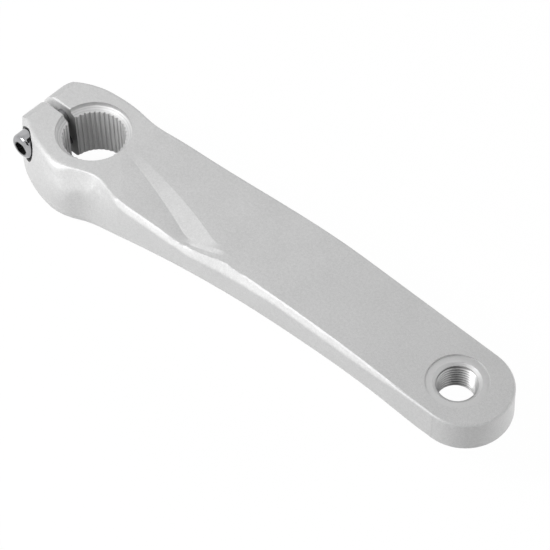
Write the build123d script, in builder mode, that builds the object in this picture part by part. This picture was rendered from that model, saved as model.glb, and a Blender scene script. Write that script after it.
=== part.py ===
"""Left bicycle crank arm with a splined pinch clamp and two pinch bolts.

Sizes are in millimetres. The origin is on the spindle axis at the inner face of
the boss, X runs to the pedal eye, Z points outwards along the spindle axis.
"""
import math
import os

from build123d import *

# Arm, from the spindle axis to the pedal axis
arm_length = 170.0
boss_depth = 24.0
outward_rise = 10.2
eye_depth = 13.0
eye_half_width = 16.2
eye_tip_offset = 3.2
eye_side_shift = 0.5
rise_start = 16.0
rise_end = 115.0
machining_allowance = 0.5
end_allowance = 0.15
clamp_end_x = -28.4
end_overrun = 40.0
loft_start = -31.0
loft_steps = 41

# Rounded edges
eye_edge_round = 0.8
eye_foot_round = 1.5
eye_foot_flare = 0.3
rim_gap = 0.02
rim_overlap = 0.2
clamp_end_foot_round = 2.5

outer_eye_face = boss_depth + outward_rise
inner_eye_face = outer_eye_face - eye_depth
eye_centre_x = arm_length + eye_tip_offset

# Outline tables: x, then the size there
far_half_width = [
    (-31.0, 2.6),
    (-28.0, 6.2),
    (-25.4, 9.4),
    (-22.5, 12.0),
    (-19.0, 14.2),
    (-15.0, 16.0),
    (-10.0, 17.4),
    (-5.0, 17.95),
    (0.0, 18.2),
    (4.0, 18.1),
    (8.0, 17.7),
    (12.0, 17.35),
    (16.0, 17.3),
    (21.0, 17.8),
    (27.0, 18.2),
    (33.0, 18.4),
    (100.0, 17.65),
    (eye_centre_x, eye_half_width + eye_side_shift),
]
near_half_width = [
    (-31.0, 4.4),
    (-28.0, 7.8),
    (-25.4, 11.0),
    (-22.5, 13.3),
    (-19.0, 15.2),
    (-15.0, 16.7),
    (-10.0, 18.3),
    (-5.0, 19.7),
    (0.0, 20.8),
    (4.0, 21.0),
    (8.0, 19.6),
    (12.0, 17.2),
    (16.0, 15.4),
    (21.0, 15.9),
    (27.0, 17.5),
    (33.0, 18.3),
    (40.0, 18.25),
    (100.0, 17.2),
    (eye_centre_x, eye_half_width - eye_side_shift),
]
far_foot_half_width = [
    (-31.0, 5.2),
    (-28.0, 9.2),
    (-25.4, 12.6),
    (-22.5, 15.2),
    (-19.0, 17.2),
    (-15.0, 19.0),
    (-10.0, 20.7),
    (-5.0, 21.7),
    (0.0, 22.2),
    (4.0, 22.0),
    (8.0, 21.2),
    (12.0, 20.0),
    (16.0, 19.0),
    (21.0, 18.2),
    (27.0, 17.9),
    (33.0, 17.8),
    (100.0, 16.9),
    (eye_centre_x, eye_half_width + eye_foot_flare),
]
near_foot_half_width = [
    (-31.0, 5.6),
    (-28.0, 9.6),
    (-25.4, 13.2),
    (-22.5, 16.0),
    (-19.0, 18.7),
    (-15.0, 21.1),
    (-10.0, 23.4),
    (-5.0, 24.9),
    (0.0, 25.6),
    (4.0, 25.3),
    (8.0, 24.2),
    (12.0, 22.5),
    (16.0, 20.8),
    (21.0, 19.2),
    (27.0, 18.2),
    (33.0, 17.85),
    (100.0, 16.9),
    (eye_centre_x, eye_half_width + eye_foot_flare),
]
inner_side_height = [
    (-31.0, -machining_allowance),
    (6.0, -machining_allowance),
    (12.0, -0.2),
    (18.0, 0.7),
    (24.0, 2.3),
    (30.0, 4.3),
    (38.0, 6.9),
    (46.0, 9.2),
    (58.0, 12.4),
    (73.0, 15.7),
    (88.0, 18.3),
    (103.0, 20.2),
    (118.0, 21.5),
    (132.0, 22.4),
    (145.0, 22.5),
    (155.0, 22.0),
    (162.0, 21.4),
    (167.0, inner_eye_face),
    (eye_centre_x, inner_eye_face),
]
near_edge_round = [
    (-31.0, 3.0),
    (-22.0, 3.0),
    (-15.0, 2.6),
    (-10.0, 2.4),
    (-5.0, 2.9),
    (0.0, 3.9),
    (4.0, 4.6),
    (8.0, 4.4),
    (12.0, 3.4),
    (16.0, 2.4),
    (24.0, 1.7),
    (33.0, 1.9),
    (60.0, 1.9),
    (70.0, 2.3),
    (80.0, 3.0),
    (90.0, 2.5),
    (102.0, 2.1),
    (118.0, 2.0),
    (135.0, 1.9),
    (149.0, 1.5),
    (161.0, 1.1),
    (eye_centre_x, eye_edge_round),
]
far_edge_round = [
    (-31.0, 1.6),
    (-15.0, 1.3),
    (30.0, 1.1),
    (eye_centre_x, eye_edge_round),
]
far_foot_round = [
    (-31.0, 3.0),
    (10.0, 3.0),
    (33.0, 2.2),
    (eye_centre_x, eye_foot_round),
]
near_foot_round = [
    (-31.0, 3.0),
    (-22.0, 4.5),
    (-10.0, 6.0),
    (0.0, 6.5),
    (8.0, 6.2),
    (16.0, 5.0),
    (24.0, 3.5),
    (33.0, 2.4),
    (eye_centre_x, eye_foot_round),
]
near_wall_bulge = [
    (-31.0, 0.1),
    (-22.0, 0.3),
    (-10.0, 0.9),
    (0.0, 1.2),
    (8.0, 1.0),
    (16.0, 0.4),
    (24.0, 0.1),
    (33.0, 0.05),
    (eye_centre_x, 0.05),
]

# Sloping nose of the clamp end: start at the outer face, middle and end of its arc
nose_start = (-21.4, boss_depth + end_allowance)
nose_middle = (-25.6, 21.2)
nose_end = (clamp_end_x, 15.6)

# Shallow fold on the outer face, from the bore to the near edge
fold_root = 15.3
crest_line = (3.6, -0.10, -0.0027)
valley_line = (1.0, -0.22, -0.0023)
border_line = (-0.7, -0.97, 0.0)
fold_depth_rate = 0.055
line_gap = 0.5
line_spread = 4.0
line_softness = 1.0
face_crown = 0.004

# Splined bore for a 24 mm spindle
spline_count = 40
spline_tip_radius = 11.35
spline_root_radius = 11.72
tip_land_share = 0.44
root_land_share = 0.26
mouth_radius = 13.83
mouth_step_radius = 13.6
mouth_step_depth = 1.6
mouth_depth = 3.0
inner_mouth_radius = 12.6
inner_mouth_depth = 0.9

# Clamp slot and pinch bolts
slot_width = 3.0
slot_shift = -0.25
slot_edge_break = 0.5
bolt_x = -17.3
bolt_drop = 6.2
bolt_shank_radius = 3.0
bolt_head_radius = 5.0
bolt_head_height = 6.0
bolt_head_round = 1.7
socket_across_flats = 5.0
socket_depth = 3.0
bolt_point = 0.8
bolt_reach = 24.0
seat_depth = 14.0
seat_clearance = 0.65
shank_clearance = 0.25
thread_clearance = 0.04
hole_overrun = 1.5

# Pedal eye with a 9/16 inch left-hand thread
eye_hole_radius = 7.14
eye_mouth_radius = 8.2
eye_inner_break = 0.4
eye_spot_radius = 10.6
eye_spot_depth = 0.4
eye_spot_lean = (-0.026, 0.026, 1.0)

upper_seat = Plane((bolt_x, -seat_depth, boss_depth - bolt_drop), x_dir=(1, 0, 0), z_dir=(0, -1, 0))
lower_seat = Plane((bolt_x, seat_depth, bolt_drop), x_dir=(1, 0, 0), z_dir=(0, 1, 0))


def ease(value, start, end):
    """Smooth step from 0 at start to 1 at end."""
    share = min(max((value - start) / (end - start), 0.0), 1.0)
    return share * share * (3.0 - 2.0 * share)


def slope_at(table, row):
    """Slope of a table at one of its rows, from the rows beside it."""
    before = table[max(row - 1, 0)]
    after = table[min(row + 1, len(table) - 1)]
    return (after[1] - before[1]) / (after[0] - before[0])


def along(table, x):
    """Size from a table at x, on a smooth curve through its rows."""
    row = 0
    while row < len(table) - 2 and x > table[row + 1][0]:
        row += 1
    (x0, low), (x1, high) = table[row], table[row + 1]
    span = x1 - x0
    share = (x - x0) / span
    rest = 1.0 - share
    start = (1.0 + 2.0 * share) * low + share * span * slope_at(table, row)
    end = (1.0 + 2.0 * rest) * high - rest * span * slope_at(table, row + 1)
    return rest * rest * start + share * share * end


def outer_height(x):
    """Height of the outer face: level on the boss, then a swept rise to the pedal eye."""
    return boss_depth + outward_rise * ease(x, rise_start, rise_end)


def fold_line(line, x):
    """Plan position of a fold line at x; level before the fold starts."""
    run = max(x - fold_root, 0.0)
    return line[0] + line[1] * run + line[2] * run * run


def fold_depth(x, y):
    """Depth of the fold below the outer face: the shallower of its ramp and its facet."""
    crest = fold_line(crest_line, x)
    valley = fold_line(valley_line, x)
    border = fold_line(border_line, x)
    deepest = fold_depth_rate * max(x - fold_root, 0.0)
    ramp = deepest * (crest - y) / (crest - valley)
    facet = deepest * (y - border) / (valley - border)
    return max(min(ramp, facet), 0.0)


def soft_max(first, second):
    """Larger of two values, with a rounded change from one to the other."""
    return (first + second + math.hypot(first - second, line_softness)) / 2.0


def face_point(x, y, crown):
    """Point of the outer face on the section at x; the crown keeps the fold lines apart."""
    return (y, outer_height(x) + crown - fold_depth(x, y))


def corner(before, at, after, radius):
    """Start, middle and end of the arc that rounds a corner of a section."""
    to_before = Vector(*before) - Vector(*at)
    to_after = Vector(*after) - Vector(*at)
    half_angle = math.radians(to_before.get_angle(to_after)) / 2.0
    setback = radius / math.tan(half_angle)
    inward = (to_before.normalized() + to_after.normalized()).normalized()
    centre = Vector(*at) + inward * (radius / math.sin(half_angle))
    start = Vector(*at) + to_before.normalized() * setback
    middle = centre - inward * radius
    end = Vector(*at) + to_after.normalized() * setback
    return [(point.X, point.Y) for point in (start, middle, end)]


def bulged(start, end, bulge):
    """Middle point of a wall, moved out from the straight line by its bulge."""
    way = Vector(*end) - Vector(*start)
    middle = Vector(*start) + way / 2.0
    out = Vector(way.Y, -way.X).normalized() * bulge
    return (middle.X + out.X, middle.Y + out.Y)


def draw_section(x):
    """Closed outline of the arm's cross-section at x, drawn on a plane across the arm."""
    near_round = along(near_edge_round, x)
    near = -along(near_half_width, x)
    far = along(far_half_width, x)
    low = along(inner_side_height, x)
    face_edge = near + near_round
    stop_gap = line_gap + line_spread * ease(x, rise_start, eye_centre_x)
    border_stop = face_edge + stop_gap
    valley_stop = border_stop + stop_gap
    crest_stop = valley_stop + stop_gap
    crest = face_point(x, soft_max(fold_line(crest_line, x), crest_stop), face_crown)
    valley = face_point(x, soft_max(fold_line(valley_line, x), valley_stop), 2.0 * face_crown)
    border = face_point(x, soft_max(fold_line(border_line, x), border_stop), face_crown)
    near_corner = (near, face_point(x, face_edge, 0.0)[1])
    far_corner = (far, outer_height(x))
    foot_shift = eye_side_shift * ease(x, rise_start, eye_centre_x)
    near_foot = (foot_shift - along(near_foot_half_width, x), low)
    far_foot = (foot_shift + along(far_foot_half_width, x), low)
    near_arc = corner(border, near_corner, near_foot, near_round)
    far_arc = corner(far_foot, far_corner, crest, along(far_edge_round, x))
    near_foot_arc = corner(near_corner, near_foot, far_foot, along(near_foot_round, x))
    far_foot_arc = corner(near_foot, far_foot, far_corner, along(far_foot_round, x))
    Line(far_arc[2], crest)
    Line(crest, valley)
    Line(valley, border)
    Line(border, near_arc[0])
    ThreePointArc(*near_arc)
    ThreePointArc(near_arc[2], bulged(near_arc[2], near_foot_arc[0], along(near_wall_bulge, x)), near_foot_arc[0])
    ThreePointArc(*near_foot_arc)
    Line(near_foot_arc[2], far_foot_arc[0])
    ThreePointArc(*far_foot_arc)
    Line(far_foot_arc[2], far_arc[0])
    ThreePointArc(*far_arc)


def spline_groove():
    """Outline of one groove between two spline teeth."""
    pitch = 2.0 * math.pi / spline_count
    root_half = pitch * root_land_share / 2.0
    tip_half = pitch * (1.0 - tip_land_share) / 2.0
    tip = (spline_tip_radius * math.cos(tip_half), spline_tip_radius * math.sin(tip_half))
    root = (spline_root_radius * math.cos(root_half), spline_root_radius * math.sin(root_half))
    return [
        (tip[0] - line_gap, -tip[1]),
        (tip[0], -tip[1]),
        (root[0], -root[1]),
        root,
        tip,
        (tip[0] - line_gap, tip[1]),
    ]


def draw_bolt(bolt, seat):
    """Socket-head bolt standing on its seat, with the shank through the clamp."""
    outward = Axis(seat.origin, seat.z_dir)
    Cylinder(bolt_head_radius, bolt_head_height, align=(Align.CENTER, Align.CENTER, Align.MIN))
    fillet(bolt.edges().filter_by(GeomType.CIRCLE).sort_by(outward)[-1], bolt_head_round)
    Cylinder(bolt_shank_radius, bolt_reach, align=(Align.CENTER, Align.CENTER, Align.MAX))
    chamfer(bolt.edges().filter_by(GeomType.CIRCLE).sort_by(outward)[0], bolt_point)
    with BuildSketch(seat.offset(bolt_head_height)) as socket:
        RegularPolygon(socket_across_flats / 2.0, 6, major_radius=False)
    extrude(socket.sketch, amount=-socket_depth, mode=Mode.SUBTRACT)


# Forged arm: one body swept through its cross-sections, with a round pedal end
section_gap = (eye_centre_x - loft_start) / loft_steps
with BuildPart() as crank_arm:
    for step in range(loft_steps + 1):
        section_x = loft_start + step * section_gap
        with BuildSketch(Plane.YZ.offset(section_x)):
            with BuildLine():
                draw_section(section_x)
            make_face()
    loft()

    # Clamp end: a sloping nose below the outer face, and a rounded foot
    end_foot = -end_allowance
    beyond_end = clamp_end_x - end_overrun
    with BuildSketch(Plane.XZ):
        with BuildLine():
            lower_end = (clamp_end_x, end_foot)
            end_foot_arc = corner(nose_end, lower_end, (0, end_foot), clamp_end_foot_round)
            ThreePointArc(nose_start, nose_middle, nose_end)
            Line(nose_end, end_foot_arc[0])
            ThreePointArc(*end_foot_arc)
            Polyline(
                end_foot_arc[2],
                (end_foot_arc[2][0], -end_overrun),
                (beyond_end, -end_overrun),
                (beyond_end, end_overrun),
                (nose_start[0], end_overrun),
                nose_start,
            )
        make_face()
    extrude(amount=end_overrun, both=True, mode=Mode.SUBTRACT)

    # Round pedal end: a turned rim a hair inside the last section, and reaching into it
    with BuildSketch(Plane.YZ.offset(eye_centre_x - rim_overlap)):
        with BuildLine():
            eye_top = (eye_side_shift, outer_eye_face - rim_gap)
            eye_bottom = (eye_side_shift, inner_eye_face + rim_gap)
            rim_y = eye_side_shift - eye_half_width + rim_gap
            eye_rim = (rim_y, outer_eye_face - rim_gap)
            eye_foot = (rim_y - eye_foot_flare, inner_eye_face + rim_gap)
            rim_arc = corner(eye_top, eye_rim, eye_foot, eye_edge_round)
            rim_foot_arc = corner(eye_rim, eye_foot, eye_bottom, eye_foot_round)
            Line(eye_bottom, eye_top)
            Line(eye_top, rim_arc[0])
            ThreePointArc(*rim_arc)
            Line(rim_arc[2], rim_foot_arc[0])
            ThreePointArc(*rim_foot_arc)
            Line(rim_foot_arc[2], eye_bottom)
        make_face()
    revolve(axis=Axis((eye_centre_x - rim_overlap, eye_side_shift, 0), (0, 0, 1)), revolution_arc=180)

    # Machined inner face of the boss
    with BuildSketch(Plane.XY):
        Rectangle(2.0 * end_overrun, 2.0 * end_overrun)
    extrude(amount=-end_overrun, mode=Mode.SUBTRACT)

    # Splined bore with a stepped outer mouth and a chamfered inner mouth
    with BuildSketch(Plane.XY.offset(-hole_overrun)):
        Circle(spline_tip_radius)
        with PolarLocations(0, spline_count):
            Polygon(*spline_groove(), align=None)
    extrude(amount=boss_depth + 2.0 * hole_overrun, mode=Mode.SUBTRACT)
    lead_in = (mouth_depth - mouth_step_depth) / (mouth_step_radius - spline_tip_radius)
    mouth_overrun = hole_overrun * (mouth_radius - mouth_step_radius) / mouth_step_depth
    inner_lead = inner_mouth_depth / (inner_mouth_radius - spline_tip_radius)
    with BuildSketch(Plane.XZ):
        with BuildLine():
            Polyline(
                (0, boss_depth - mouth_depth - lead_in * line_gap),
                (spline_tip_radius - line_gap, boss_depth - mouth_depth - lead_in * line_gap),
                (mouth_step_radius, boss_depth - mouth_step_depth),
                (mouth_radius + mouth_overrun, boss_depth + hole_overrun),
                (0, boss_depth + hole_overrun),
                close=True,
            )
        make_face()
        with BuildLine():
            Polyline(
                (0, inner_mouth_depth + inner_lead * line_gap),
                (spline_tip_radius - line_gap, inner_mouth_depth + inner_lead * line_gap),
                (inner_mouth_radius + line_gap, -inner_lead * line_gap),
                (0, -inner_lead * line_gap),
                close=True,
            )
        make_face()
    revolve(axis=Axis.Z, mode=Mode.SUBTRACT)

    # Clamp slot, with its edges broken at the outer face
    slot_reach = -2.0 * clamp_end_x - 2.0 * line_gap
    with BuildSketch(Plane.XY):
        with Locations((clamp_end_x, slot_shift)):
            Rectangle(slot_reach, slot_width)
    extrude(amount=end_overrun, mode=Mode.SUBTRACT)
    with BuildSketch(Plane.YZ.offset(clamp_end_x - slot_reach / 2.0)):
        with BuildLine():
            break_foot = boss_depth - slot_edge_break
            break_top = boss_depth + hole_overrun
            half_slot = slot_width / 2.0
            half_break = half_slot + slot_edge_break + hole_overrun
            Polyline(
                (slot_shift - half_slot, break_foot),
                (slot_shift + half_slot, break_foot),
                (slot_shift + half_break, break_top),
                (slot_shift - half_break, break_top),
                close=True,
            )
        make_face()
    extrude(amount=slot_reach, mode=Mode.SUBTRACT)

    # Bolt seats, clearance holes and tapped holes in the clamp ears
    for seat in (upper_seat, lower_seat):
        with BuildSketch(seat):
            Circle(bolt_head_radius + seat_clearance)
        extrude(amount=end_overrun, mode=Mode.SUBTRACT)
        with BuildSketch(seat):
            Circle(bolt_shank_radius + shank_clearance)
        extrude(amount=-seat_depth, mode=Mode.SUBTRACT)
        with BuildSketch(seat):
            Circle(bolt_shank_radius + thread_clearance)
        extrude(amount=-bolt_reach - hole_overrun, mode=Mode.SUBTRACT)

    # Pedal eye with mouth chamfers, and spot faces of which the outer one leans a little
    with BuildSketch(Plane.XZ):
        with BuildLine():
            mouth_depth_at_eye = eye_mouth_radius - eye_hole_radius
            outer_spot = outer_eye_face - eye_spot_depth
            inner_spot = inner_eye_face + eye_inner_break
            Polyline(
                (arm_length, inner_eye_face - hole_overrun),
                (arm_length + eye_spot_radius, inner_eye_face - hole_overrun),
                (arm_length + eye_spot_radius, inner_spot),
                (arm_length + eye_hole_radius + eye_inner_break, inner_spot),
                (arm_length + eye_hole_radius, inner_spot + eye_inner_break),
                (arm_length + eye_hole_radius, outer_spot - mouth_depth_at_eye),
                (arm_length + eye_mouth_radius + hole_overrun, outer_spot + hole_overrun),
                (arm_length, outer_spot + hole_overrun),
                close=True,
            )
        make_face()
    revolve(axis=Axis((arm_length, 0, 0), (0, 0, 1)), mode=Mode.SUBTRACT)
    with BuildSketch(Plane((arm_length, 0, outer_spot), x_dir=(1, 0, 0), z_dir=eye_spot_lean)):
        Circle(eye_spot_radius)
    extrude(amount=hole_overrun, mode=Mode.SUBTRACT)

# Pinch bolts: one from each side of the clamp
with BuildPart(upper_seat) as upper_pinch_bolt:
    draw_bolt(upper_pinch_bolt, upper_seat)

with BuildPart(lower_seat) as lower_pinch_bolt:
    draw_bolt(lower_pinch_bolt, lower_seat)

os.makedirs("parts", exist_ok=True)
crank_arm.part.label = "crank_arm"
export_step(crank_arm.part, "parts/crank_arm.step")
upper_pinch_bolt.part.label = "upper_pinch_bolt"
export_step(upper_pinch_bolt.part, "parts/upper_pinch_bolt.step")
lower_pinch_bolt.part.label = "lower_pinch_bolt"
export_step(lower_pinch_bolt.part, "parts/lower_pinch_bolt.step")
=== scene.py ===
# %% [markdown]
# # A left crank arm in blasted silver
# The solids come from the CAD model and stay as they are. This file gives them their
# finishes, copies the arm to put the flats on its near side, adds the fine pedal thread,
# and sets up the camera, the light and the floor. Everything is in metres, in the same
# frame as the CAD: X runs from the spindle to the pedal, Z points outwards along the spindle.

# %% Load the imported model
import math

import bpy
import numpy as np
from mathutils import Matrix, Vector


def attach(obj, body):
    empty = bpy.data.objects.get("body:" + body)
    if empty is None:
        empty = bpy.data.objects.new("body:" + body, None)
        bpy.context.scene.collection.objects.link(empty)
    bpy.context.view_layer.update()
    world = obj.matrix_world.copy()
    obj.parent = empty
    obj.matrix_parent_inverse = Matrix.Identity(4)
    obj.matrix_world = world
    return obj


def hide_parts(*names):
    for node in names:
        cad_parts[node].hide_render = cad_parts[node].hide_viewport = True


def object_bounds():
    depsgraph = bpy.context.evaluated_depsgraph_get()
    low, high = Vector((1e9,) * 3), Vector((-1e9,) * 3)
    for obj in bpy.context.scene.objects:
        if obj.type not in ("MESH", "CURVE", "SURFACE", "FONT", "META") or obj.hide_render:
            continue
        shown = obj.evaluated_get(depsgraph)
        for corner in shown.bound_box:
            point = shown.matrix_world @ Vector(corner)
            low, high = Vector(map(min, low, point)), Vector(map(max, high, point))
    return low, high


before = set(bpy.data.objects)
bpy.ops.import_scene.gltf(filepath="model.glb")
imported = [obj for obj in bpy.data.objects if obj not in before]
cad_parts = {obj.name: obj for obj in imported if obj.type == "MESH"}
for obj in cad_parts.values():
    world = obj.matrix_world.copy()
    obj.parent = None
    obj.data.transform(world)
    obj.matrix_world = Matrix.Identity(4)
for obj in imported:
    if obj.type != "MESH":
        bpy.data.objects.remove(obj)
cad_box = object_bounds()
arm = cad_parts["crank_arm"]
upper_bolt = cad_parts["upper_pinch_bolt"]
lower_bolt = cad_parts["lower_pinch_bolt"]
MM = 0.001
print("nodes:", sorted(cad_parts))
print("box:", [[round(v, 4) for v in corner] for corner in cad_box])

# %% [markdown]
# ## Camera
# The photograph was taken with a long lens from above the near side. The camera could be
# placed by eye, but then every width would be a little wrong. Instead its angles, its
# distance and its lens were fitted to the outline, the spline bore and the pedal eye.

# %% Camera at the photograph's angle
PICTURE_SIDE = 550.0
SENSOR = 36.0
FOCAL_PIXELS = 2454.09
CAMERA_AZIMUTH = math.radians(44.58)
CAMERA_ELEVATION = math.radians(52.0)
CAMERA_ROLL = math.radians(-1.25)
CAMERA_DISTANCE = 829.34 * MM
CAMERA_TARGET = np.array([91.77, -3.06, 24.0]) * MM


def camera_axes(azimuth, elevation, roll):
    """Right, up and back directions: the level pair turned by the roll about the view line."""
    back = np.array([
        math.sin(azimuth) * math.cos(elevation),
        -math.cos(azimuth) * math.cos(elevation),
        math.sin(elevation),
    ])
    level_right = np.array([math.cos(azimuth), math.sin(azimuth), 0.0])
    level_up = np.cross(back, level_right)
    right = math.cos(roll) * level_right + math.sin(roll) * level_up
    up = math.cos(roll) * level_up - math.sin(roll) * level_right
    return right, up, back


def placed(right, up, back, place):
    """Matrix of an object whose X, Y and Z point along three directions, at a place."""
    matrix = np.eye(4)
    matrix[:3, :] = np.stack([right, up, back, place], axis=1)
    return Matrix(matrix.tolist())


right, up, back = camera_axes(CAMERA_AZIMUTH, CAMERA_ELEVATION, CAMERA_ROLL)
camera_place = CAMERA_TARGET + back * CAMERA_DISTANCE
lens_data = bpy.data.cameras.new("photo_camera")
lens_data.sensor_width = SENSOR
lens_data.lens = SENSOR * FOCAL_PIXELS / PICTURE_SIDE
camera = bpy.data.objects.new("photo_camera", lens_data)
bpy.context.collection.objects.link(camera)
camera.matrix_world = placed(right, up, back, camera_place)
bpy.context.scene.camera = camera
print("camera at", np.round(camera_place, 4), "lens", round(lens_data.lens, 1), "mm")

# %% [markdown]
# ## Shader maths
# A finish is a tree of nodes. Written by hand that is long, so one small class wraps a
# socket: Python's own operators on it add Math nodes, and one method adds any other node.

# %% Socket class


class Wire:
    """An output socket of a shader tree; arithmetic on it adds Math nodes."""

    def __init__(self, tree, socket):
        self.tree = tree
        self.socket = socket

    def node(self, kind, settings=None, inputs=None, output=0):
        """Adds a node, sets its settings first, then the values or links of its sockets."""
        made = self.tree.nodes.new(kind)
        for name, value in (settings or {}).items():
            setattr(made, name, value)
        for name, value in (inputs or {}).items():
            target = made.inputs[name]
            if isinstance(value, Wire):
                self.tree.links.new(value.socket, target)
            else:
                target.default_value = value
        return Wire(self.tree, made.outputs[output])

    def maths(self, operation, first, second=0.0):
        """A Math node on two values."""
        return self.node("ShaderNodeMath", {"operation": operation}, {0: first, 1: second})

    def __add__(self, other):
        return self.maths("ADD", self, other)

    def __radd__(self, other):
        return self.maths("ADD", other, self)

    def __sub__(self, other):
        return self.maths("SUBTRACT", self, other)

    def __rsub__(self, other):
        return self.maths("SUBTRACT", other, self)

    def __mul__(self, other):
        return self.maths("MULTIPLY", self, other)

    def __rmul__(self, other):
        return self.maths("MULTIPLY", other, self)

    def __abs__(self):
        return self.maths("ABSOLUTE", self)

    def larger(self, other):
        """The larger of two values."""
        return self.maths("MAXIMUM", self, other)

    def root(self):
        """Square root."""
        return self.maths("SQRT", self)

    def sine(self):
        """Sine of an angle in radians."""
        return self.maths("SINE", self)

    def rises(self, start, end):
        """Smooth step: 0 below start, 1 above end."""
        settings = {"interpolation_type": "SMOOTHSTEP"}
        inputs = {"Value": self, "From Min": start, "From Max": end}
        return self.node("ShaderNodeMapRange", settings, inputs)

    def falls(self, start, end):
        """Smooth step the other way: 1 below start, 0 above end."""
        return 1.0 - self.rises(start, end)

    def tint(self, low, high):
        """Colour from a low colour to a high one, by this value."""
        settings = {"data_type": "RGBA", "clamp_factor": False}
        inputs = {"Factor": self, 6: low, 7: high}
        return self.node("ShaderNodeMix", settings, inputs, output=2)


print("socket class:", Wire.__name__)

# %% [markdown]
# ### Patterns and masks
# Every finish here needs the same few things: a grain of a known size, the distance to an
# axis, and neutral colours. Each is a short function, so that a finish reads as a recipe.

# %% Helpers for finishes


def new_finish(name):
    """A material with a bare shader: returns it, its shader and its object coordinates."""
    material = bpy.data.materials.new(name)
    material.use_nodes = True
    tree = material.node_tree
    shader = tree.nodes["Principled BSDF"]
    place = tree.nodes.new("ShaderNodeTexCoord")
    return material, shader, Wire(tree, place.outputs["Object"])


def feed(shader, **values):
    """Sets sockets of the shader: underscores in a name stand for spaces."""
    for name, value in values.items():
        target = shader.inputs[name.replace("_", " ")]
        if isinstance(value, Wire):
            value.tree.links.new(value.socket, target)
        else:
            target.default_value = value


def noise(place, size, detail=2.0):
    """Soft random pattern whose blotches are about this size in metres."""
    inputs = {"Vector": place, "Scale": 1.0 / size, "Detail": detail}
    return place.node("ShaderNodeTexNoise", None, inputs)


def parts_of(place):
    """X, Y and Z of the object coordinates."""
    return [place.node("ShaderNodeSeparateXYZ", None, {"Vector": place}, output=k) for k in range(3)]


def dents(place, height, distance, strength):
    """Bump from a height pattern."""
    inputs = {"Height": height, "Distance": distance, "Strength": strength}
    return place.node("ShaderNodeBump", None, inputs)


def ring_distance(first, second):
    """Distance from an axis: the root of the sum of the squares of two coordinates across it."""
    return (first * first + second * second).root()


def waves(distance, pitch):
    """Sine wave that repeats at every pitch of a distance."""
    return (distance * (2.0 * math.pi / pitch)).sine()


def grey(level):
    """A neutral colour."""
    return (level, level, level, 1.0)


def greys(tone, low, high):
    """Two greys: a tone times a low and a high factor."""
    return grey(tone * low), grey(tone * high)


BLACK = grey(0.0)
WHITE = grey(1.0)
print("black and white:", BLACK, WHITE)

# %% [markdown]
# ## Flats on the near side
# The near edge of the real arm is not round. A narrow flat runs along it from the neck to
# the pedal eye, and the boss has a wide leaning flat with a fuller wall below it: these
# catch the light. The solid has a round there, between the same border lines. A Bevel
# modifier needs one clean edge and the round is made of many, so the arm is copied, and
# the points of the round are moved by a formula. Every other point stays where it is.
#
# Each row of the table is a place along the arm: its X, how far out the near side is at
# the outer face, and the radius of the round, in millimetres.

# %% Near edge in numbers
EDGE = np.array([
    (-20.0, 14.7, 2.9),
    (-15.0, 16.7, 2.6),
    (-10.0, 18.3, 2.4),
    (-5.0, 19.7, 2.9),
    (0.0, 20.8, 3.9),
    (4.0, 21.0, 4.6),
    (8.0, 19.6, 4.4),
    (12.0, 17.2, 3.4),
    (16.0, 15.4, 2.4),
    (24.0, 16.7, 1.7),
    (33.0, 18.3, 1.9),
    (60.0, 17.9, 1.9),
    (80.0, 17.6, 3.0),
    (102.0, 17.15, 2.1),
    (135.0, 16.5, 1.9),
    (161.0, 15.95, 1.1),
]) * MM
EDGE_X, EDGE_SIDE, EDGE_ROUND = EDGE.T
BOSS_TOP = 24.0 * MM
ROUND_REACH = 1.05
TINY = 1e-12


def step(value, start, end):
    """Smooth step on an array: 0 at start, 1 at end, three squares less two cubes between."""
    share = np.clip((value - start) / (end - start), 0.0, 1.0)
    return share * share * (3.0 - 2.0 * share)


def unit(vectors):
    """Vectors scaled to length 1."""
    return vectors / np.maximum(np.linalg.norm(vectors, axis=-1, keepdims=True), TINY)


print("near edge:", len(EDGE), "places")
print("radius from", round(EDGE_ROUND.min() / MM, 2), "to", round(EDGE_ROUND.max() / MM, 2), "mm")

# %% [markdown]
# ### Narrow flat
# On the arm the flat is the chord of the round. A point of a round goes onto its chord
# when it moves in by its height over the chord, and the angle of its normal says how high
# that is. So the mesh needs no cut, and both border lines stay where they are.

# %% Narrow flat along the arm
BOSS_LEAN = 20.0
ARM_LEAN = 2.0
LEAN_TURN = np.array([16.0, 28.0]) * MM
FACE_ANGLE = 88.0
ANGLE_SLACK = 2.0
BAND_START = np.array([26.5, 30.0]) * MM
BAND_END = np.array([150.0, 161.0]) * MM


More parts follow.
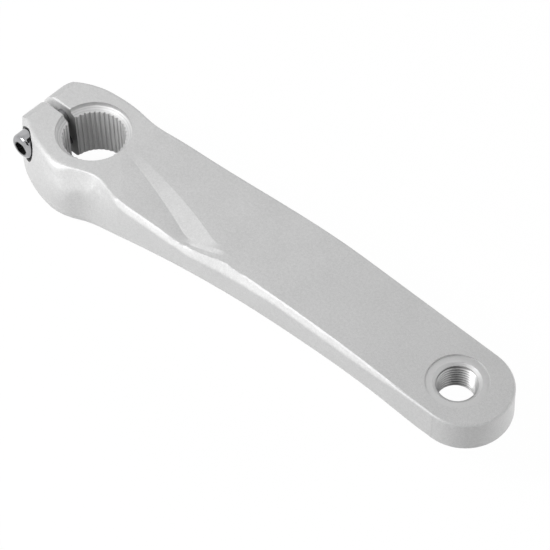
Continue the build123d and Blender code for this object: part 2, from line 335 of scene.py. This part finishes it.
def narrow_flat(points, triangles, normals):
    """Moves the round of the near edge onto its chord.

    A point at angle a of a round of radius r goes in by r (cos(a - m) - cos h), where m is
    the angle at the round's middle and h is half its sweep. The flat's normals are those of
    its own faces.
    """
    x, y, z = np.moveaxis(points[triangles], -1, 0)
    side = np.interp(x, EDGE_X, EDGE_SIDE)
    radius = np.interp(x, EDGE_X, EDGE_ROUND)
    angle = np.degrees(np.arctan2(normals[..., 2], -normals[..., 1]))
    lean = BOSS_LEAN - (BOSS_LEAN - ARM_LEAN) * step(x, *LEAN_TURN)
    middle = (FACE_ANGLE + lean) / 2.0
    half = (FACE_ANGLE - lean) / 2.0
    share = step(x, *BAND_START) * (1.0 - step(x, *BAND_END))
    near_edge = (y < -side + ROUND_REACH * radius) & (z > BOSS_TOP - radius) & (share > 0.0)
    on_round = near_edge & (np.abs(angle - middle) < half + ANGLE_SLACK)
    sagitta = np.cos(np.radians(angle - middle)) - np.cos(np.radians(half))
    depth = radius * np.maximum(sagitta, 0.0) * on_round * share
    tilt = np.radians(middle)
    moves = np.stack([np.zeros_like(depth), np.cos(tilt) * depth, -np.sin(tilt) * depth], axis=-1)
    shift = np.zeros_like(points)
    order = np.argsort(depth.ravel())
    shift[triangles.ravel()[order]] = moves.reshape(-1, 3)[order]
    moved = points + shift
    off_middle = np.abs((angle - middle).mean(axis=1))
    flat = on_round.all(axis=1) & (off_middle < half.mean(axis=1) - ANGLE_SLACK)
    first, second, third = np.moveaxis(moved[triangles], 1, 0)
    face = np.cross(second - first, third - first) * flat[:, None]
    strip = np.zeros_like(points)
    np.add.at(strip, triangles.ravel(), np.repeat(face, 3, axis=0))
    blend = (share * flat[:, None])[..., None]
    return moved, unit((1.0 - blend) * normals + blend * unit(strip)[triangles])


print("narrow flat from", round(BAND_START[0] / MM, 1), "to", round(BAND_END[1] / MM, 1), "mm")

# %% [markdown]
# ### Wide flat
# The flat on the boss is wider than the round, so a chord isn't enough. It is a leaning
# plane that cuts the near wall, and the wall below swells out a little to meet it. Cutting
# the mesh would leave a hard line. A soft maximum of wall and plane rounds that line, and
# the new normals come from the same formula, so the shading stays smooth.

# %% Wide flat on the boss
FINE_X = np.arange(-20.0, 161.0, 0.25) * MM
EASE_STEPS = 25
CHEEK_START = np.array([-1.0, 9.0]) * MM
CHEEK_END = np.array([21.0, 28.0]) * MM
CHEEK_NEAR = -10.0 * MM
CHEEK_LEAN = 0.89
CHEEK_SOFT = 0.5 * MM
CREST_IN = 0.577
CREST_DROP = 0.094
SWELL = 1.3 * MM
SWELL_RISE = np.array([3.0, 11.0]) * MM
SWELL_FALL = np.array([12.0, 34.0]) * MM
SWELL_LOW = np.array([0.0, 17.0]) * MM
SWELL_HIGH = np.array([20.0, 22.5]) * MM
TANGENT = 0.1 * MM
ALONG_ARM = np.array([1.0, 0.0, 0.0])


def eased(values):
    """A column of the table on a fine scale, with its corners averaged away."""
    kernel = np.hanning(EASE_STEPS) / np.hanning(EASE_STEPS).sum()
    return np.convolve(np.interp(FINE_X, EDGE_X, values), kernel, mode="same")


FINE_SIDE = eased(EDGE_SIDE)
FINE_ROUND = eased(EDGE_ROUND)


def cheek(points):
    """Near cheek of the boss: a fuller wall, cut by a leaning plane.

    The wall is y less a swell. The plane is the crest's y less the lean times the drop below
    the crest. The inner one of the two is kept, as half of their sum plus the root of their
    squared difference and a small square, which rounds the line where they meet.
    """
    x, y, z = np.moveaxis(points, -1, 0)
    side = np.interp(x, FINE_X, FINE_SIDE)
    radius = np.interp(x, FINE_X, FINE_ROUND)
    crest_y = -side + CREST_IN * radius
    crest_z = BOSS_TOP - CREST_DROP * radius
    fuller = SWELL * step(x, *SWELL_RISE) * (1.0 - step(x, *SWELL_FALL))
    wall = y - fuller * step(z, *SWELL_LOW) * (1.0 - step(z, *SWELL_HIGH))
    plane = crest_y - CHEEK_LEAN * (crest_z - z)
    inner = (wall + plane + np.sqrt((wall - plane) ** 2 + CHEEK_SOFT ** 2)) / 2.0
    share = step(x, *CHEEK_START) * (1.0 - step(x, *CHEEK_END))
    near_side = y < -side + ROUND_REACH * radius
    return np.stack([x, np.where(near_side, wall + share * (inner - wall), y), z], axis=-1)


def wide_flat(points, triangles, normals):
    """Moves the cheek; a new normal is the cross product of two moved tangents."""
    corner = points[triangles]
    first = unit(np.cross(normals, ALONG_ARM))
    second = np.cross(normals, first)
    along = cheek(corner + TANGENT * first) - cheek(corner - TANGENT * first)
    across = cheek(corner + TANGENT * second) - cheek(corner - TANGENT * second)
    x, y, _ = np.moveaxis(corner, -1, 0)
    zone = (x > CHEEK_START[0]) & (x < SWELL_FALL[1]) & (y < CHEEK_NEAR)
    turned = np.where(zone[..., None], unit(np.cross(along, across)), normals)
    return cheek(points), turned


print("wide flat from", round(CHEEK_START[0] / MM, 1), "to", round(CHEEK_END[1] / MM, 1), "mm")

# %% [markdown]
# ### The copy
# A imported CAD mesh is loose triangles, and moving those could open cracks. So the doubled
# points of the copy are merged first. The normals are kept per corner and put back at the
# end, so the rest of the arm is shaded as the solid is.

# %% Copy of the arm with both flats
MERGE = 0.001 * MM


def mesh_arrays(mesh):
    """Points, triangles and corner normals of a mesh, as arrays."""
    points = np.empty(len(mesh.vertices) * 3)
    corners = np.empty(len(mesh.loops), int)
    normals = np.empty(len(mesh.loops) * 3)
    mesh.vertices.foreach_get("co", points)
    mesh.loops.foreach_get("vertex_index", corners)
    mesh.corner_normals.foreach_get("vector", normals)
    return points.reshape(-1, 3), corners.reshape(-1, 3), normals.reshape(-1, 3, 3)


def merged(points, triangles, normals):
    """One point for each place, and no triangle that has two corners in one place."""
    places = np.round(points / MERGE).astype(int)
    _, first, index = np.unique(places, axis=0, return_index=True, return_inverse=True)
    triangles = index.reshape(-1)[triangles]
    whole = (triangles != np.roll(triangles, 1, axis=1)).all(axis=1)
    return points[first], triangles[whole], normals[whole]


def linked(name, points, faces):
    """Smooth mesh object from arrays of points and faces, linked to the scene."""
    mesh = bpy.data.meshes.new(name)
    mesh.from_pydata(points.reshape(-1, 3).tolist(), [], faces.tolist())
    mesh.shade_smooth()
    piece = bpy.data.objects.new(name, mesh)
    bpy.context.collection.objects.link(piece)
    return piece


points, triangles, normals = merged(*mesh_arrays(arm.data))
struck, struck_normals = narrow_flat(points, triangles, normals)
struck, struck_normals = wide_flat(struck, triangles, struck_normals)
arm_skin = linked("struck_arm", struck, triangles)
arm_skin.data.normals_split_custom_set(struck_normals.reshape(-1, 3).tolist())
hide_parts("crank_arm")
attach(arm_skin, "root")
shift = np.linalg.norm(struck - points, axis=1)
print("struck arm:", len(triangles), "triangles,", int((shift > 0.0).sum()), "points moved")
print("moved the most:", round(float(shift.max() / MM), 2), "mm")

# %% [markdown]
# ## Blasted silver
# The arm is forged, blasted with fine grit and clear anodised: a matt silver with a dense
# sparkle, and no brush lines. Machined places look different: the mouth of the bore, the
# spot face of the pedal eye and the inner face are turned, and the splines, the slot and
# the bolt seats are duller. Shade is painted on two of them: the slot walls are painted
# darker deeper in from the open end, and the bolt seats are painted dark, as painted shade
# in the pockets round the bolt heads. The mesh could be split into pieces with a finish
# each, but all of it is one solid. So masks worked out from the distance to each axis tell
# the finishes apart, and each mask turns over a few hairs' breadths.

# %% Places of the machined zones
HAIR = 0.06 * MM
ARM_LENGTH = 170.0 * MM
MOUTH_EDGE = 13.83 * MM + np.array([-1.0, 1.0]) * HAIR
SPLINE_EDGE = 11.72 * MM + np.array([1.0, 5.0]) * HAIR
EYE_EDGE = 10.6 * MM + np.array([-1.0, 1.0]) * HAIR
INNER_EDGE = np.array([1.0, 4.0]) * HAIR
SLOT_MIDDLE = -0.25 * MM
SLOT_EDGE = 1.5 * MM + np.array([3.0, 5.0]) * HAIR
SLOT_END = np.array([-11.0, -10.5]) * MM
BOLT_X = -17.3 * MM
UPPER_BOLT_Z = 17.8 * MM
LOWER_BOLT_Z = 6.2 * MM
SEAT_EDGE = 5.75 * MM + np.array([0.0, 1.0]) * HAIR
SEAT_FLOOR = 13.9 * MM + np.array([-1.0, 0.0]) * HAIR


def seat_zone(x, out, above):
    """1 inside a bolt seat: near its axis, and further out than its floor."""
    return ring_distance(x - BOLT_X, above).falls(*SEAT_EDGE) * out.rises(*SEAT_FLOOR)


def slot_zone(x, y):
    """1 on the walls of the clamp slot: close to its middle plane, and outside the bore."""
    return abs(y - SLOT_MIDDLE).falls(*SLOT_EDGE) * x.falls(*SLOT_END)


print("zones, mm: mouth", np.round(MOUTH_EDGE / MM, 2), "eye", np.round(EYE_EDGE / MM, 2))

# %% Blasted silver for the arm
ARM_TONE = 0.6
ARM_METAL = 0.3
ARM_ROUGH = 0.5
BORE_TONE = 0.6
# Slot walls are painted shade: dark deep in the slot, and lighter towards its open end.
SLOT_DEEP_SHADE = 0.25
SLOT_LIGHT = 0.75
SLOT_OPEN = -22.0 * MM
SLOT_DEEP = -12.5 * MM
TURNED_TONE = 0.62
# Painted shade: the tone of the bolt seats, dark like the pockets round the bolt heads.
SEAT_PAINTED_SHADE = 0.10
FINE_GRAIN = 0.32 * MM
FINE_DETAIL = 3.0
GRIT_GRAIN = 0.9 * MM
CLOUD_GRAIN = 14.0 * MM
FINE_SHARE = 0.55
GRIT_SHARE = 0.3
CLOUD_SHARE = 0.15
SPARKLE_RANGE = (0.28, 0.72)
SILVER_SPREAD = (0.88, 1.1)
TURNED_SPREAD = (0.9, 1.1)
CUT_SPREAD = (0.85, 1.15)
SEAT_SPREAD = (0.8, 1.2)
SLOT_GRAIN_LEAST = 0.85
SLOT_GRAIN_SPREAD = 0.3
TURNING_PITCH = 0.8 * MM
LINE_RANGE = (0.2, 0.9)
LINE_DEPTH = 0.9
BARE_GRIT = 0.5
BARE_LEAST = 0.25
RING_PITCH = 0.3 * MM
RING_HEIGHT = 0.25
FINE_HEIGHT = 0.6
GRIT_HEIGHT = 0.4
GRAIN_DEPTH = 0.05 * MM
GRAIN_STRENGTH = 0.5
GRAIN_MEAN = 0.5
GRAIN_ROUGH = 0.18
DULL_ROUGH = 0.15
DULL_METAL = 0.7


def blasted_silver():
    """Matt silver with a fine sparkle, and machined zones by distance to the bore and eye axes."""
    material, shader, place = new_finish("blasted_silver")
    x, y, z = parts_of(place)
    fine = noise(place, FINE_GRAIN, FINE_DETAIL)
    grit = noise(place, GRIT_GRAIN)
    cloud = noise(place, CLOUD_GRAIN)
    from_bore = ring_distance(x, y)
    from_eye = ring_distance(x - ARM_LENGTH, y)
    mouth = from_bore.falls(*MOUTH_EDGE)
    splines = from_bore.falls(*SPLINE_EDGE)
    eye = from_eye.falls(*EYE_EDGE)
    slot = slot_zone(x, y)
    seat = seat_zone(x, 0.0 - y, z - UPPER_BOLT_Z).larger(seat_zone(x, y, z - LOWER_BOLT_Z))
    turned = mouth.larger(eye).larger(z.falls(*INNER_EDGE))
    dull = splines.larger(slot).larger(seat)
    sparkle = (fine * FINE_SHARE + grit * GRIT_SHARE + cloud * CLOUD_SHARE).rises(*SPARKLE_RANGE)
    silver = sparkle.tint(*greys(ARM_TONE, *SILVER_SPREAD))
    lines = waves(from_bore, TURNING_PITCH).rises(*LINE_RANGE) * mouth
    worn = grit * BARE_GRIT + BARE_LEAST - lines * LINE_DEPTH
    # Painted shade in the slot: darker deeper in from the open end, with a fine grain.
    slot_shade = x.rises(SLOT_OPEN, SLOT_DEEP) * (SLOT_DEEP_SHADE - SLOT_LIGHT) + SLOT_LIGHT
    slot_painted_shade = (slot_shade * (SLOT_GRAIN_LEAST + fine * SLOT_GRAIN_SPREAD)).tint(BLACK, WHITE)
    colour = turned.tint(silver, worn.tint(*greys(TURNED_TONE, *TURNED_SPREAD)))
    colour = splines.tint(colour, fine.tint(*greys(BORE_TONE, *CUT_SPREAD)))
    colour = slot.tint(colour, slot_painted_shade)
    # The bolt seats are painted dark as painted shade.
    colour = seat.tint(colour, fine.tint(*greys(SEAT_PAINTED_SHADE, *SEAT_SPREAD)))
    rings = waves(from_bore * (1.0 - eye) + from_eye * eye, RING_PITCH)
    blasted = (fine * FINE_HEIGHT + grit * GRIT_HEIGHT) * (1.0 - turned)
    feed(
        shader,
        Base_Color=colour,
        Metallic=ARM_METAL * (1.0 - dull * DULL_METAL),
        Roughness=ARM_ROUGH + (fine - GRAIN_MEAN) * GRAIN_ROUGH + dull * DULL_ROUGH,
        Normal=dents(place, blasted + rings * RING_HEIGHT * turned, GRAIN_DEPTH, GRAIN_STRENGTH),
    )
    return material


arm_finish = blasted_silver()
arm_skin.data.materials.append(arm_finish)
print("arm finish:", arm_finish.name, len(arm_finish.node_tree.nodes), "nodes")

# %% [markdown]
# ## Chromed bolts
# The two pinch bolts are polished and plated, so they are almost a mirror. A perfect mirror
# would look drawn, so a trace of orange peel in the plating breaks up the reflections. The
# hex socket is rougher and painted dark, as painted shade in the recess. One finish serves
# both bolts: the mask of the socket is the distance to the nearer bolt's axis.

# %% Chrome for the pinch bolts
BOLT_MIDDLE_Z = (UPPER_BOLT_Z + LOWER_BOLT_Z) / 2.0
BOLT_SPREAD = (UPPER_BOLT_Z - LOWER_BOLT_Z) / 2.0
SOCKET_EDGE = 2.9 * MM + np.array([0.0, 1.0]) * HAIR
SOCKET_FLOOR = 16.9 * MM + np.array([-1.0, 0.0]) * HAIR
# Painted shade: the tone of the hex socket.
SOCKET_PAINTED_SHADE = 0.12
SOCKET_ROUGH = 0.25
PLATING_DARK = (0.33, 0.33, 0.34, 1.0)
PLATING_LIGHT = (0.43, 0.43, 0.44, 1.0)
PLATING_RANGE = (0.3, 0.7)
PLATING_ROUGH = 0.07
PEEL_GRAIN = 0.8 * MM
PEEL_DETAIL = 1.0
PEEL_DEPTH = 0.02 * MM
PEEL_STRENGTH = 0.3
HAZE_GRAIN = 2.5 * MM
HAZE_DETAIL = 3.0
HAZE_RANGE = (0.45, 0.8)
HAZE_ROUGH = 0.1


def bolt_chrome():
    """Plated steel: a mirror with faint orange peel and a few hazy patches."""
    material, shader, place = new_finish("bolt_chrome")
    x, y, z = parts_of(place)
    peel = noise(place, PEEL_GRAIN, PEEL_DETAIL)
    haze = noise(place, HAZE_GRAIN, HAZE_DETAIL)
    from_axis = ring_distance(x - BOLT_X, abs(z - BOLT_MIDDLE_Z) - BOLT_SPREAD)
    socket = from_axis.falls(*SOCKET_EDGE) * abs(y).rises(*SOCKET_FLOOR)
    plating = haze.rises(*PLATING_RANGE).tint(PLATING_DARK, PLATING_LIGHT)
    feed(
        shader,
        # The socket is painted dark as painted shade.
        Base_Color=socket.tint(plating, grey(SOCKET_PAINTED_SHADE)),
        Metallic=1.0,
        Roughness=PLATING_ROUGH + haze.rises(*HAZE_RANGE) * HAZE_ROUGH + socket * SOCKET_ROUGH,
        Normal=dents(place, peel, PEEL_DEPTH, PEEL_STRENGTH),
    )
    return material


chrome = bolt_chrome()
for bolt in (upper_bolt, lower_bolt):
    bolt.data.materials.clear()
    bolt.data.materials.append(chrome)
print("bolt finish:", chrome.name, len(chrome.node_tree.nodes), "nodes")

# %% [markdown]
# ## Pedal thread
# The pedal screws into the eye with a fine left-hand thread. A Screw modifier could turn
# it, but a thread is one tooth profile carried along a helix, so the whole ridge is a grid:
# one way along the helix, the other way across the tooth. The hole has a cone at each
# mouth, and there the ridge is cut off by the cone, as a countersink leaves it.

# %% Left-hand thread in the pedal eye
THREAD_PITCH = 1.27 * MM
THREAD_WALL = 7.14 * MM
THREAD_TIP = 6.45 * MM
OUTER_CONE_FOOT = 32.74 * MM
INNER_CONE_FOOT = 22.0 * MM
THREAD_OVERRUN = 0.6 * MM
THREAD_STEPS = 72
SKIN = 0.02 * MM
TOOTH = np.array([
    (-0.5, -0.05),
    (-0.44, 0.04),
    (-0.25, 0.5),
    (-0.09, 0.95),
    (-0.05, 1.0),
    (0.05, 1.0),
    (0.09, 0.95),
    (0.25, 0.5),
    (0.44, 0.04),
    (0.5, -0.05),
])


def grid_piece(name, points):
    """Mesh object from a grid of points (rows, columns, 3); quads run between neighbours."""
    rows, columns = points.shape[:2]
    index = np.arange(rows * columns).reshape(rows, columns)
    corners = [index[:-1, :-1], index[1:, :-1], index[1:, 1:], index[:-1, 1:]]
    return linked(name, points, np.stack(corners, axis=-1).reshape(-1, 4))


def thread_ridge():
    """Helix of one tooth: the radius goes from wall to tip and back.

    The height falls as the angle grows, which makes the thread left-hand. Both mouths are
    45 degree cones, so near an end the radius is at least the cone's.
    """
    low = INNER_CONE_FOOT - THREAD_OVERRUN
    high = OUTER_CONE_FOOT + THREAD_OVERRUN
    turns = (high - low) / THREAD_PITCH
    along = np.linspace(0.0, 1.0, int(turns * THREAD_STEPS) + 1)[:, None]
    across, rise = TOOTH.T
    height = high - (high - low) * along + THREAD_PITCH * across
    angle = np.broadcast_to(2.0 * math.pi * turns * along, height.shape)
    tooth = THREAD_WALL - (THREAD_WALL - THREAD_TIP) * rise
    outer_cone = THREAD_WALL + (height - OUTER_CONE_FOOT) + SKIN
    inner_cone = THREAD_WALL + (INNER_CONE_FOOT - height) + SKIN
    radius = np.maximum(tooth, np.maximum(outer_cone, inner_cone))
    return np.stack([ARM_LENGTH + radius * np.cos(angle), radius * np.sin(angle), height], axis=-1)


pedal_thread = grid_piece("pedal_thread", thread_ridge())
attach(pedal_thread, "root")
print("pedal thread:", len(pedal_thread.data.polygons), "faces")

# %% [markdown]
# ### Cut metal
# A tap leaves bare aluminium. Its roots are painted dark as painted shade, while the crests
# and the first turn keep the metal's own tone. The depth of the roots alone gives too little
# contrast at this size, so the colour follows the distance to the eye's axis as well.

# %% Cut metal for the thread
CHATTER_GRAIN = 0.25 * MM
CHATTER_DEPTH = 0.01 * MM
CHATTER_STRENGTH = 0.4
CHATTER_ROUGH = 0.1
CREST_MARGIN = 0.1 * MM
FIRST_TURN = OUTER_CONE_FOOT + np.array([-0.7, -0.3]) * MM
CUT_DARK = 0.5
CUT_LIGHT = 0.64
CUT_METAL = 0.8
CUT_ROUGH = 0.3
# Painted shade: the tone of the thread roots.
ROOT_PAINTED_SHADE = 0.1


def tapped_metal():
    """Cut aluminium of the thread: crests and first turn in the metal's tone, roots painted dark as
    painted shade.
    """
    material, shader, place = new_finish("tapped_metal")
    x, y, z = parts_of(place)
    chatter = noise(place, CHATTER_GRAIN)
    from_eye = ring_distance(x - ARM_LENGTH, y)
    crest = from_eye.falls(THREAD_TIP + CREST_MARGIN, THREAD_WALL - CREST_MARGIN)
    # Outside the crests and the first turn, the colour is painted shade.
    unshaded = crest.larger(z.rises(*FIRST_TURN))
    feed(
        shader,
        Base_Color=unshaded.tint(grey(ROOT_PAINTED_SHADE), chatter.tint(grey(CUT_DARK), grey(CUT_LIGHT))),
        Metallic=CUT_METAL,
        Roughness=CUT_ROUGH + chatter * CHATTER_ROUGH,
        Normal=dents(place, chatter, CHATTER_DEPTH, CHATTER_STRENGTH),
    )
    return material


thread_finish = tapped_metal()
pedal_thread.data.materials.append(thread_finish)
print("thread finish:", thread_finish.name, len(thread_finish.node_tree.nodes), "nodes")

# %% [markdown]
# ## Floor
# The photograph is a cut-out on white. Brighter lamps would make a floor white, and bleach
# the arm with it. So the floor glows white, but only to rays from the camera, a mirror or
# glass. A small share of its real shading stays, and that keeps the arm's shadow.

# %% White floor
FLOOR_SIDE = 6.0
FLOOR_LINES = 9
FLOOR_GAP = 0.2 * MM
FLOOR_TONE = 0.6
FLOOR_ROUGH = 0.9
FLOOR_GLOW = 1.02
FLOOR_WHITE = 0.96
FLOOR_Z = cad_box[0][2] - FLOOR_GAP


def seen_directly(tree):
    """1 for a ray from the camera, from a mirror or through glass, 0 for soft light."""
    paths = tree.nodes.new("ShaderNodeLightPath")
    from_camera = Wire(tree, paths.outputs["Is Camera Ray"])
    from_mirror = Wire(tree, paths.outputs["Is Glossy Ray"])
    through_glass = Wire(tree, paths.outputs["Is Transmission Ray"])
    return from_camera.larger(from_mirror).larger(through_glass)


def white_floor():
    """White to the camera and to reflections, with a share of real shading that keeps the shadow."""
    material, shader, place = new_finish("white_floor")
    tree = material.node_tree
    feed(shader, Base_Color=grey(FLOOR_TONE), Roughness=FLOOR_ROUGH)
    shaded = Wire(tree, shader.outputs[0])
    glow = place.node("ShaderNodeEmission", None, {"Color": WHITE, "Strength": FLOOR_GLOW})
    share = seen_directly(tree) * FLOOR_WHITE
    surface = place.node("ShaderNodeMixShader", None, {0: share, 1: shaded, 2: glow})
    tree.links.new(surface.socket, tree.nodes["Material Output"].inputs["Surface"])
    return material


floor_lines = np.linspace(-0.5, 0.5, FLOOR_LINES) * FLOOR_SIDE
floor_x, floor_y = np.meshgrid(floor_lines, floor_lines, indexing="ij")
floor = grid_piece("floor", np.stack([floor_x, floor_y, np.full_like(floor_x, FLOOR_Z)], axis=-1))
floor.data.materials.append(white_floor())
print("floor at", round(FLOOR_Z, 5))

# %% [markdown]
# ## Lamps
# The light in the photograph is soft and comes from the near left. So a key lamp and a low
# near lamp stand close to the boss, where their light fades along the arm, and a large lamp
# on the far side fills the shade. One lamp on the near side would do, but when metal
# mirrored all of it, and the far lamp too, the outer face glared from behind. So the near
# light is shared by two lamps in one place: metal mirrors the sheen lamp, while the near
# lamp and the far lamp only light.

# %% Lamps around the arm
BOSS_MIDDLE = np.array([-10.0, 0.0, 20.0]) * MM
ARM_MIDDLE = np.array([80.0, 0.0, 20.0]) * MM
UPWARD = np.array([0.0, 0.0, 1.0])
KEY_SPOT = {"target": BOSS_MIDDLE, "azimuth": -118.0, "elevation": 50.0, "distance": 0.65, "size": 0.3}
NEAR_SPOT = {"target": BOSS_MIDDLE, "azimuth": -104.0, "elevation": 15.0, "distance": 0.7, "size": 0.32}
FAR_SPOT = {"target": ARM_MIDDLE, "azimuth": 45.0, "elevation": 15.0, "distance": 2.0, "size": 0.9}
KEY_WATTS = 2.85
NEAR_WATTS = 0.8
SHEEN_WATTS = 1.05
FAR_WATTS = 27.0


def toward(azimuth, elevation):
    """Direction from an azimuth about Z and an elevation, in degrees."""
    turn = math.radians(azimuth)
    lift = math.radians(elevation)
    level = math.cos(lift)
    return np.array([level * math.cos(turn), level * math.sin(turn), math.sin(lift)])


def facing(out):
    """Sideways and upward directions of a sheet whose back is turned along a direction."""
    sideways = unit(np.cross(UPWARD, out))
    return sideways, np.cross(out, sideways)


def soft_lamp(name, watts, mirrored, target, azimuth, elevation, distance, size):
    """Square area lamp at a distance from its target, turned towards it."""
    data = bpy.data.lights.new(name, "AREA")
    data.size = size
    data.energy = watts
    lamp = bpy.data.objects.new(name, data)
    bpy.context.collection.objects.link(lamp)
    out = toward(azimuth, elevation)
    lamp.matrix_world = placed(*facing(out), out, target + distance * out)
    lamp.visible_glossy = mirrored
    return lamp


lamps = [
    soft_lamp("key_lamp", KEY_WATTS, True, **KEY_SPOT),
    soft_lamp("near_lamp", NEAR_WATTS, False, **NEAR_SPOT),
    soft_lamp("sheen_lamp", SHEEN_WATTS, True, **NEAR_SPOT),
    soft_lamp("far_lamp", FAR_WATTS, False, **FAR_SPOT),
]
print("lamps:", [lamp.name for lamp in lamps])

# %% [markdown]
# ## World
# A dim world lights every side a little, as a pale room does. More lamps could do that, but
# each would add its own shadow. To the camera, to mirrors and through glass the world is
# plain white, like the floor.

# %% White room
FILL = 0.23
world = bpy.data.worlds.new("white_room")
bpy.context.scene.world = world
world.use_nodes = True
room = world.node_tree
strength = FILL + seen_directly(room) * (1.0 - FILL)
background = room.nodes["Background"]
background.inputs["Color"].default_value = WHITE
room.links.new(strength.socket, background.inputs["Strength"])
bpy.context.scene.view_settings.view_transform = "Standard"
print("world fill:", FILL)

# %% [markdown]
# ## Dark cards
# Polished metal only looks like metal when it has something dark to mirror. Two black
# cards stand outside the picture: one high on the far right, whose image is the dark band
# on the bolt, and one above the camera, whose image darkens the middle of the thread.
# Painting those shades on would be wrong from every other side. The camera and soft light
# don't see the cards, so they hide nothing and cast no shadow.

# %% Cards
CARD_LINES = 5
CARD_GRAIN = 4.0 * MM
CARD_DARK = 0.03
CARD_LIGHT = 0.05
CARD_ROUGH = 0.9
BOLT_PLACE = np.array([-17.0, -17.0, 18.0]) * MM
EYE_PLACE = np.array([170.0, 0.0, 30.0]) * MM
FAR_SHEET = {"azimuth": 50.0, "elevation": 54.0, "reach": 0.55, "width": 0.42, "height": 0.30}
CAMERA_SHEET = {"azimuth": -46.0, "elevation": 54.0, "reach": 1.1, "width": 0.80, "height": 0.80}


def card_black():
    """Matt black card with a faint grain."""
    material, shader, place = new_finish("card_black")
    grain = noise(place, CARD_GRAIN).tint(grey(CARD_DARK), grey(CARD_LIGHT))
    feed(shader, Base_Color=grain, Roughness=CARD_ROUGH)
    return material


def dark_card(name, finish, target, azimuth, elevation, reach, width, height):
    """Flat sheet square to a direction: its middle is the target plus the reach along it."""
    out = toward(azimuth, elevation)
    sideways, upward = facing(out)
    lines = np.linspace(-0.5, 0.5, CARD_LINES)
    across, along = np.meshgrid(lines * width, lines * height, indexing="ij")
    middle = target + out * reach
    card = grid_piece(name, middle + across[..., None] * sideways + along[..., None] * upward)
    card.data.materials.append(finish)
    card.visible_camera = False
    card.visible_diffuse = False
    card.visible_shadow = False
    return card


card_finish = card_black()
cards = [
    dark_card("far_card", card_finish, BOLT_PLACE, **FAR_SHEET),
    dark_card("camera_card", card_finish, EYE_PLACE, **CAMERA_SHEET),
]
print("cards:", [card.name for card in cards])
